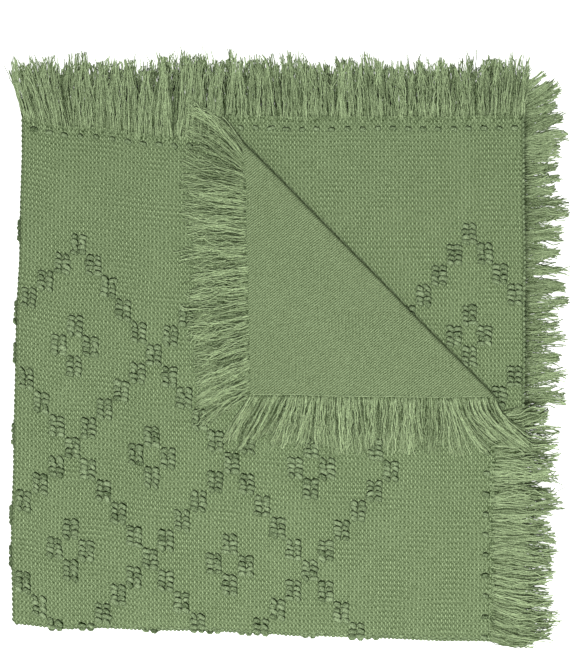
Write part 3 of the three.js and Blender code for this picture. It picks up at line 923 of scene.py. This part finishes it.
foldRibs = makeRibs()
print("fold ribs:", len(foldRibs.data.polygons), "faces")

# The fringe: kinked yarns in strands, and strands in uneven tufts, along each edge, mm
yarn = {
    "length": 60.0, "strand": (2.6, 6.0), "sides": 3,
    "tuftLonger": 0.075, "ownLonger": 0.015, "wave": 0.8, "hook": 3.5, "curl": 0.9, "kink": 0.42,
    "strays": 0.04, "strayLonger": (1.0, 1.15), "strayLean": 0.2, "strayCurl": 6.0, "strayThin": 0.7,
    "low": 0.34, "lowHeld": 0.2, "lowReach": 0.84, "lowLevel": 0.4,  # of those that fill in below the strands
    "threadThick": 0.6, "threadTone": 0.58,  # the cloth's last thread
}
yarnValues = (
    "s", "aim", "middle", "width", "longer", "leaning", "gather",
    "strand", "longerStrand", "leaningStrand", "level", "phase",
)


# how far along an edge the corner's turn reaches a given distance, at the fringe's roots
def edgeAt(level, edge):
    s = np.linspace(0, 500, 20001)
    beside = np.full_like(s, -9.0)
    p, q = (s, beside) if edge == "p" else (beside, s)
    return s[np.argmax(creaseField(p, q) <= level)]


# height over the table of the loops below a point, for yarns that lie across them
def loopsBelow(x, y):
    flat = np.stack([x.ravel(), y.ravel()], -1)
    high = np.zeros(len(flat))
    for k in range(0, len(flat), 4000):
        apart = flat[k:k + 4000, None, :] - loopsAt[None, :, :2]
        near = np.exp(-((apart[..., 0] / 5.5) ** 2) - (apart[..., 1] / 4.0) ** 2)
        high[k:k + 4000] = near.max(1)
    return (pattern["loopHigh"] * high).reshape(x.shape)


# where the upper and right edges' yarns start to fall and lie lowest, and how much of their height they lose
resting = {
    "fallY": (304.0, 362.0), "fallX": (292.0, 330.0), "stackFall": 0.62, "sideFall": (0.06, 0.38),
    "cornerHeight": 27.6, "cornerFall": (0.5, 0.3), "betweenFall": 0.8,
    "foldShade": 0.9, "foldShadeOut": 4.0, "foldShadeWidth": 2.2, "foldShadeY": (-50.0, -20.0),
}


# heights at which yarns come to rest, and how deep they lie in shade there; f runs from root to tip
def restStacked(f, x, y, root):
    start, end = resting["fallY"]
    return (root - half) * (1 - resting["stackFall"] * np.clip((y - start) / (end - start), 0, 1)), 0


def restSide(f, x, y, root):
    fromFold = (x - throw["rightFold"] - resting["foldShadeOut"]) / resting["foldShadeWidth"]
    shade = resting["foldShade"] * np.exp(-(fromFold ** 2)) * smooth(*resting["foldShadeY"], y)
    first, last = resting["sideFall"]
    return (root - half) * (1 - first * smooth(0, 0.6, f) - last * smooth(0.6, 1, f)), shade


def restCorner(f, x, y, root):
    overEnd, overSide = resting["cornerFall"]
    fall = (1 - overEnd * smooth(*resting["fallY"], y)) * (1 - overSide * smooth(*resting["fallX"], x))
    flat = resting["cornerHeight"] + loopsBelow(x, y)
    return mix(root, flat * fall, smooth(0, 0.32, f)), 0


def restBetween(f, x, y, root):
    return root - f * resting["betweenFall"], 0


# a run of edge with its tufts' widths and yarns per mm; all its tufts may take their aim from one place
def run(start, end, tuft, density, aim=None, strand=yarn["strand"]):
    return {"start": start, "end": end, "tuft": tuft, "density": density, "aim": aim, "strand": strand}


# uneven widths that fill a length
def unevenly(start, end, widths):
    edges = [start]
    while edges[-1] < end:
        edges.append(edges[-1] + chance.uniform(*widths))
    edges = start + (np.array(edges) - start) * (end - start) / (edges[-1] - start)
    return list(zip(edges[:-1], edges[1:]))


# for each yarn its root and aim, then its tuft's and its strand's own values
def yarnRoots(fringe):
    rows = []
    for r in fringe["runs"]:
        for a, b in unevenly(r["start"], r["end"], r["tuft"]):
            middle = (a + b) / 2 if r["aim"] is None else r["aim"]
            tuft = [middle, b - a, *chance.normal(size=2), chance.uniform(*fringe["gather"])]
            for c, d in unevenly(a, b, r["strand"]):
                count = max(2, round((d - c) * r["density"]))
                s = mix(c, d, (np.arange(count) + chance.uniform(0.2, 0.8, count)) / count)
                strand = [(c + d) / 2, *chance.normal(size=2), chance.random(), chance.uniform(-3, 3)]
                aim = s if r["aim"] is None else np.full(count, middle)
                alike = np.repeat([tuft + strand], count, 0)
                rows.append(np.concatenate([s[:, None], aim[:, None], alike], 1))
    return dict(zip(yarnValues, np.concatenate(rows).T))


def varied(amount, shape):
    return chance.normal(0, amount, shape)


# each yarn's own wave along its length
def rippled(f, count, slow, fast):
    turns = chance.uniform(slow, fast, count)[:, None]
    return np.sin(2 * math.pi * (turns * f + chance.random(count)[:, None]))


# a point along an edge, so far out past it and n above the middle of the cloth
def edgePoint(fringe, along, out, n):
    beside = fringe["at"] + fringe["out"] * out
    p, q = (along, beside) if fringe["edge"] == "p" else (beside, along)
    return settle(placeAt(p, q, n))


# which yarns go astray or lie low, how far each keeps to its tuft and strand, and where it leaves the cloth
def leaveCloth(fringe, own):
    count = len(own["s"])
    own["stray"] = chance.random(count) < yarn["strays"]
    own["low"] = chance.random(count) < yarn["low"]
    own["held"] = np.where(own["low"], yarn["lowHeld"], 1.0)
    outside = fringe["upper"] * (half - 0.1)
    n = np.where(chance.random(count) < 0.6, outside, chance.uniform(-1, 1, count))
    own["root"] = edgePoint(fringe, own["s"], -fringe["inside"] * chance.random(count) ** 1.2, n)


# how far each yarn goes ahead of the edge, and its lean to the side
def aheadAndLean(fringe, own):
    count = len(own["s"])
    domed = 1 - fringe["dome"] * np.clip((own["s"] - own["middle"]) / (own["width"] / 2), -1, 1) ** 2
    reach = 1 + yarn["tuftLonger"] * np.clip(own["longer"], -1.4, 1.4)
    reach = reach + fringe["ragged"] * np.clip(own["longerStrand"], -1.6, 1.6)
    reach = reach + varied(yarn["ownLonger"], count)
    reach = yarn["length"] * fringe["long"](own["s"]) * domed * reach
    reach = reach * np.where(own["low"], yarn["lowReach"], 1)
    reach = reach * np.where(own["stray"], chance.uniform(*yarn["strayLonger"], count), 1)
    lean = fringe["stir"] * own["leaning"] + fringe["apart"] * own["leaningStrand"]
    lean = fringe["fan"](own["aim"]) + own["held"] * lean
    lean = lean + varied(np.where(own["stray"], yarn["strayLean"], fringe["cross"]), count)
    return reach / np.sqrt(1 + lean ** 2), lean


# the way to the side: the lean, the strand's wave and hooked end, and each yarn's own waves, curl and kinks
def swayAlong(fringe, own, f, forward, lean):
    count, phase = len(forward), own["phase"][:, None]
    sway = (forward * lean)[:, None] * (f + fringe["bow"](own["aim"])[:, None] * (f - f * f))
    sway = sway + yarn["wave"] * f ** 0.7 * np.sin(6 * f + phase)
    sway = sway + yarn["hook"] * own["held"][:, None] * np.sin(1.7 * phase) * f ** 4
    sway = sway + varied(fringe["wavy"], count)[:, None] * f ** 0.5 * rippled(f, count, 1.2, 3.2)
    sway = sway + varied(np.where(own["stray"], yarn["strayCurl"], yarn["curl"]), count)[:, None] * f ** 3
    return sway + varied(yarn["kink"], (count, f.size)) * smooth(0, 0.1, f)


# points of the yarns, drawn in to their strands and tufts, before they come to rest
def yarnPoints(fringe, own, f):
    forward, lean = aheadAndLean(fringe, own)
    sway = swayAlong(fringe, own, f, forward, lean)
    middle, held = own["middle"], own["held"][:, None]
    strandRoot, tuftRoot = edgePoint(fringe, own["strand"], 0.0, 0.0), edgePoint(fringe, middle, 0.0, 0.0)
    ahead = (edgePoint(fringe, middle, 5.0, 0.0) - tuftRoot) * (1, 1, 0)
    side = edgePoint(fringe, middle + 1, 0.0, 0.0) - edgePoint(fringe, middle - 1, 0.0, 0.0)
    ahead, side = (way / np.linalg.norm(way, axis=1, keepdims=True) for way in (ahead, side))
    towardsTip = smooth(0.6, 1, f)
    inTuft = 1 - held * own["gather"][:, None] * towardsTip
    drawn = fringe["draw"](own["s"])[:, None] * smooth(0, 0.25, f)
    inStrand = 1 - held * (drawn + fringe["tip"] * towardsTip)
    at = tuftRoot[:, None] + (strandRoot - tuftRoot)[:, None] * inTuft[..., None]
    at = at + (own["root"] - strandRoot)[:, None] * np.maximum(inStrand, 0.15)[..., None]
    return at + ahead[:, None] * (forward[:, None] * f)[..., None] + side[:, None] * sway[..., None]


def makeFringe(name, fringe):
    own = yarnRoots(fringe)
    count, points = len(own["s"]), fringe["points"]
    f = np.linspace(0, 1, points)[None, :]
    leaveCloth(fringe, own)
    at = yarnPoints(fringe, own, f)
    stray, low = own["stray"][:, None], own["low"][:, None]

    level = mix(chance.random(count), own["level"], fringe["alike"])[:, None]
    level = np.clip(level + 0.25 * rippled(f, count, 0.6, 2.0), 0, 1) * np.where(low, yarn["lowLevel"], 1)
    frayed = mix(1, np.where(stray, yarn["strayThin"], fringe["frayed"]), smooth(0.5, 0.9, f))
    thick = fringe["radius"] * (1 + varied(0.1, count))[:, None] * frayed
    edgeHeight = edgePoint(fringe, own["s"], 0.0, 0.0)[:, 2:3]
    rest, shade = fringe["rest"](f, at[..., 0], at[..., 1], edgeHeight)
    rest = rest + level * fringe["pile"] + thick
    at[..., 2] = np.maximum(mix(own["root"][:, 2:3], rest, smooth(0, 0.14, f)), thick)

    # painted shade: yarns lower in the pile are darker; painted light: the tips a little lighter
    tone = fringe["tone"](own["s"])[:, None] + 0.5 * (level - 0.2) + 0.08 * smooth(0.5, 1, f)
    tone = tone + (0.04 * own["longerStrand"] - 0.2 * own["stray"] + varied(0.1, count))[:, None]
    tone = tone + varied(0.05, (count, points))
    # painted shade on the low yarns and on yarns low in the pile, away from root and tip; dark knots at some
    # roots, partly painted shade where the yarns go into the cloth
    between = np.where(low, 1, 0.65 * smooth(0.4, 0, level)) * smooth(0, 0.15, f) * smooth(1, 0.75, f)
    knot = np.where(chance.random(count) < 0.4, 0.8, 0)[:, None] * smooth(0.05, 0, f)
    sunk = np.maximum(np.maximum(fringe["sunk"] * between, knot), shade)

    along = np.arange(4, fringe["thread"], 3.0)
    thread = edgePoint(fringe, along, -1.7, fringe["upper"] * (half + 0.5))
    starts = (np.arange(count)[:, None] * points + np.arange(points - 1)[None, :]).ravel()
    starts = np.append(starts, count * points + np.arange(len(thread) - 1))
    floats = {
        "tone": np.append(tone, yarn["threadTone"] + varied(0.12, len(thread))),
        "sunk": np.append(sunk, np.zeros(len(thread))),
        "thick": np.append(thick, np.full(len(thread), yarn["threadThick"])) * mm,
    }
    lines = np.concatenate([at.reshape(-1, 3), thread])
    piece = seedPiece(name, lines, np.stack([starts, starts + 1], -1).tolist(), floats, {})
    grow(piece, yarnAlongLines, {"Sides": yarn["sides"], "Yarn": fringeYarn})
    print(name, "yarns:", count, "faces:", len(piece.data.polygons))
    return piece


# where the bottom fold starts and ends along q
def bendOf(p):
    x, mid, lift, line = sectionAt(np.array([p]), np.array([throw["width"] / 2]), np.zeros(1))
    return float(line[0] - math.pi * mid[0] / 2), float(line[0] + math.pi * mid[0] / 2)


outerBend, innerBend = bendOf(0.0), bendOf(throw["length"])
bendAim = outerBend[0] + 0.4
cornerTop, cornerSide = edgeAt(-2, "p"), edgeAt(-2, "q")
flapTop, flapSide = edgeAt(creaseRun + 10, "p"), edgeAt(creaseRun + 10, "q")
overLeft = run(throw["leftTurn"], leftTurnEnd, (8, 8), 2.0, throw["leftTurn"] - 0.5)
overRight = run(rightTurn, rightTurnEnd, (8, 8), 2.0, rightTurnEnd + 0.5)
firstBare = rightTurnEnd + (throw["rightFold"] + 48) / throw["innerEase"]  # the inner end shows up to here
fineStrand = (2.0, 4.2)


# a value that stays the same all along an edge
def steady(value):
    return lambda s: np.full_like(s, value)


def topLength(s):
    outer = 1.22 + 0.2 * smooth(520, 330, s)
    return np.select([s < throw["leftTurn"], s < rightTurn], [outer, 0.95], 1.09)


def topFan(s):
    outer = 0.28 * smooth(455, throw["leftTurn"], s)
    middle = -0.26 * smooth(leftTurnEnd + 60, leftTurnEnd, s)
    inner = -0.22 * smooth(rightTurnEnd + 35, rightTurnEnd, s) * (s > rightTurn)
    return np.where(s < leftTurnEnd, outer, middle + inner)


def underFan(s):
    atSide = -1.3 * smooth(60, 0, s)
    return atSide + np.where(s < leftTurnEnd, 0.1 * smooth(480, throw["leftTurn"], s), 0)


def rightFan(s):
    upper = 0.17 * smooth(outerBend[0] - 100, outerBend[0] - 20, s) * (s < outerBend[0])
    upper = upper - 0.27 * smooth(cornerSide + 40, cornerSide, s)
    lower = 0.06 * smooth(700, 900, s) + 0.09 * smooth(1020, 1100, s) + 0.5 * smooth(1092, 1140, s)
    return upper + 0.08 * (abs(s - bendAim) < 0.1) + lower


# what the fringes share, where one has no value of its own
# sunk sets how dark the low and deep-lying yarns are painted
plainFringe = {
    "dome": 0.1, "stir": 0.03, "apart": 0.02, "ragged": 0.045, "cross": 0.05, "wavy": 1.2, "tip": 0.4,
    "sunk": 0.5, "alike": 0.3, "radius": 0.64, "frayed": 1.1, "thread": 0,
    "tone": steady(0.39), "draw": steady(0.1), "long": steady(1.0), "fan": steady(0.0), "bow": steady(0.0),
}
fringes = {
    "fringe_top": {
        "edge": "p", "at": 0.0, "out": -1, "upper": 1, "inside": 6.5, "rest": restStacked, "points": 15,
        "pile": 3.2, "gather": (0.1, 0.5), "dome": 0.26, "stir": 0.045, "apart": 0.015, "ragged": 0.05,
        "cross": 0.03, "sunk": 0.36, "radius": 0.6, "frayed": 1.0,
        "tone": steady(0.36), "long": topLength, "fan": topFan,
        "draw": lambda s: 0.15 + 0.3 * smooth(495, 525, s),
        "runs": [
            run(cornerTop, throw["leftTurn"], (9, 20), 2.8), overLeft,
            run(leftTurnEnd, rightTurn, (10, 24), 0.4), overRight,
            run(rightTurnEnd, firstBare, (9, 20), 2.8), run(firstBare, throw["length"], (14, 30), 0.4),
        ],
    },
    "fringe_under": {
        "edge": "p", "at": throw["width"], "out": 1, "upper": -1, "inside": 3.0, "rest": restStacked,
        "points": 9, "pile": 2.4, "gather": (-0.1, 0.15), "stir": 0.04, "tip": 0.2, "fan": underFan,
        "long": lambda s: 0.92 + 0.25 * smooth(55, 10, s),
        "runs": [
            run(0.0, 40.0, (8, 14), 9.0), run(40.0, 70.0, (8, 16), 4.5),
            run(70.0, throw["leftTurn"], (10, 24), 2.0), overLeft,
            run(leftTurnEnd, rightTurn, (10, 24), 0.5), overRight,
            run(rightTurnEnd, throw["length"], (10, 24), 0.5),
        ],
    },
    "fringe_right": {
        "edge": "q", "at": 0.0, "out": -1, "upper": 1, "inside": 6.0, "rest": restSide, "points": 10,
        "pile": 2.8, "gather": (0.2, 0.55), "dome": 0.32, "stir": 0.014, "apart": 0.008, "cross": 0.04,
        "wavy": 1.8, "tip": 0.35, "sunk": 0.3, "frayed": 1.15, "fan": rightFan,
        # darker, as painted shade, where it lies low beside the inner panel's fold
        "tone": lambda s: 0.36 - 0.13 * smooth(760, 820, s),
        "long": lambda s: 1.14 + 0.05 * smooth(700, 900, s) + 0.12 * smooth(1080, 1140, s),
        "bow": lambda s: 2.0 * smooth(90, 40, abs(s - outerBend[0])),
        "runs": [
            run(cornerSide, outerBend[0], (12, 26), 3.4), run(*outerBend, (9, 12), 1.8, bendAim),
            run(outerBend[1], 800.0, (12, 24), 1.5), run(800.0, 1040.0, (11, 24), 4.3),
            run(1040.0, 1095.0, (10, 20), 5.4), run(1095.0, throw["width"], (8, 15), 9.0),
        ],
    },
    "fringe_flap_left": {
        "edge": "p", "at": 0.0, "out": -1, "upper": -1, "inside": 0.8, "rest": restCorner, "points": 16,
        "pile": 2.4, "gather": (-0.05, 0.2), "stir": 0.04, "apart": 0.05, "cross": 0.055, "wavy": 1.9,
        "sunk": 0.55, "alike": 0.6, "radius": 0.56, "frayed": 0.9,
        "tone": steady(0.43), "long": steady(1.09),
        "draw": lambda s: 0.4 + 0.2 * smooth(235, 262, s),
        "fan": lambda s: 0.8 * smooth(232, 272, s) + 0.1 * smooth(150, 232, s) - 0.55 * smooth(165, 0, s),
        "bow": lambda s: 0.7 * smooth(235, 270, s),
        "runs": [
            run(0.0, 215.0, (7, 15), 2.7, None, fineStrand), run(215.0, flapTop, (9, 16), 2.7, None, (4, 7)),
            run(flapTop, cornerTop, (6, 9), 0.8, flapTop),
        ],
    },
    "fringe_flap_bottom": {
        "edge": "q", "at": 0.0, "out": -1, "upper": -1, "inside": 0.8, "rest": restCorner, "points": 16,
        "pile": 2.6, "gather": (-0.1, 0.2), "apart": 0.035, "cross": 0.045,
        "alike": 0.45, "radius": 0.56, "frayed": 0.9, "thread": flapSide, "tone": steady(0.385),
        "draw": lambda s: 0.25 + 0.37 * smooth(205, 235, s),
        "long": lambda s: 1.0 + 0.1 * smooth(225, 270, s),
        "fan": lambda s: 0.85 * smooth(195, 258, s) - 0.6 * smooth(110, 0, s),
        "bow": lambda s: -0.85 * smooth(205, 245, s),
        "runs": [
            run(0.0, 212.0, (8, 18), 2.7, None, fineStrand), run(212.0, flapSide, (9, 16), 2.9, None, (5, 8)),
            run(flapSide, cornerSide, (6, 9), 1.4, flapSide),
        ],
    },
    "fringe_inner": {
        "edge": "q", "at": throw["length"], "out": 1, "upper": 1, "inside": 1.0, "rest": restBetween,
        "points": 7, "pile": 0.3, "gather": (0.2, 0.5), "tip": 0.2, "long": steady(0.95), "draw": steady(0.2),
        "runs": [
            run(0.0, innerBend[0], (12, 24), 0.3), run(*innerBend, (10, 12), 0.3),
            run(innerBend[1], throw["width"], (12, 24), 0.3),
        ],
    },
}
fringePieces = {}
for node, fringe in fringes.items():
    fringePieces[node] = makeFringe(node + "_yarns", {**plainFringe, **fringe})

# Floor, light and camera
stageSetup = {
    "floorSide": 9.0, "floorHeight": -0.0004, "floorTone": 0.93, "floorGlow": 0.8, "worldLight": 0.5,
    "keyAt": (0.1, -0.8, 2.6), "keySide": 0.9, "keyPower": 75.0,
    "cameraAt": (0.0177, 0.0494, 4.0), "lens": 130.1, "filmHeight": 24.0,
}


def makeFloor():
    side = stageSetup["floorSide"] / 2
    mesh = bpy.data.meshes.new("floor")
    corners = [(-side, -side), (side, -side), (side, side), (-side, side)]
    mesh.from_pydata([(x, y, stageSetup["floorHeight"]) for x, y in corners], [], [(0, 1, 2, 3)])
    paper = bpy.data.materials.new("pale_paper")
    paper.use_nodes = True
    shader = paper.node_tree.nodes["Principled BSDF"]
    shader.inputs["Base Color"].default_value = [stageSetup["floorTone"]] * 3 + [1.0]
    shader.inputs["Roughness"].default_value = 0.9
    shader.inputs["Specular IOR Level"].default_value = 0.1
    shader.inputs["Emission Color"].default_value = (1.0, 1.0, 1.0, 1.0)
    shader.inputs["Emission Strength"].default_value = stageSetup["floorGlow"]
    mesh.materials.append(paper)
    floor = bpy.data.objects.new("floor", mesh)
    bpy.context.scene.collection.objects.link(floor)
    return floor


def makeLight():
    world = bpy.data.worlds.new("soft_room")
    world.use_nodes = True
    world.node_tree.nodes["Background"].inputs["Color"].default_value = (1.0, 1.0, 1.0, 1.0)
    world.node_tree.nodes["Background"].inputs["Strength"].default_value = stageSetup["worldLight"]
    bpy.context.scene.world = world
    lamp = bpy.data.lights.new("window_light", "AREA")
    lamp.shape = "SQUARE"
    lamp.size = stageSetup["keySide"]
    lamp.energy = stageSetup["keyPower"]
    light = bpy.data.objects.new("window_light", lamp)
    light.location = stageSetup["keyAt"]
    light.rotation_mode = "QUATERNION"
    light.rotation_quaternion = (-light.location).to_track_quat("-Z", "Y")
    bpy.context.scene.collection.objects.link(light)


def makeCamera():
    lens = bpy.data.cameras.new("overhead")
    lens.sensor_fit = "VERTICAL"
    lens.sensor_height = stageSetup["filmHeight"]
    lens.lens = stageSetup["lens"]
    camera = bpy.data.objects.new("overhead", lens)
    camera.location = stageSetup["cameraAt"]
    bpy.context.scene.collection.objects.link(camera)
    bpy.context.scene.camera = camera


floor = makeFloor()
makeLight()
makeCamera()
bpy.context.scene.view_settings.view_transform = "Standard"
print("floor, light and camera set")

# Every piece rides with the one body and stands for its solid
for piece in (cloth, loops, foldRibs):
    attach(piece, "root")
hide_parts("throw_cloth")
for node, piece in fringePieces.items():
    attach(piece, "root")
    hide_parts(node)

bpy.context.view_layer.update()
for piece in (cloth, loops, foldRibs, *fringePieces.values()):
    print(piece.name, "triangles:", sum(len(face.vertices) - 2 for face in piece.data.polygons))
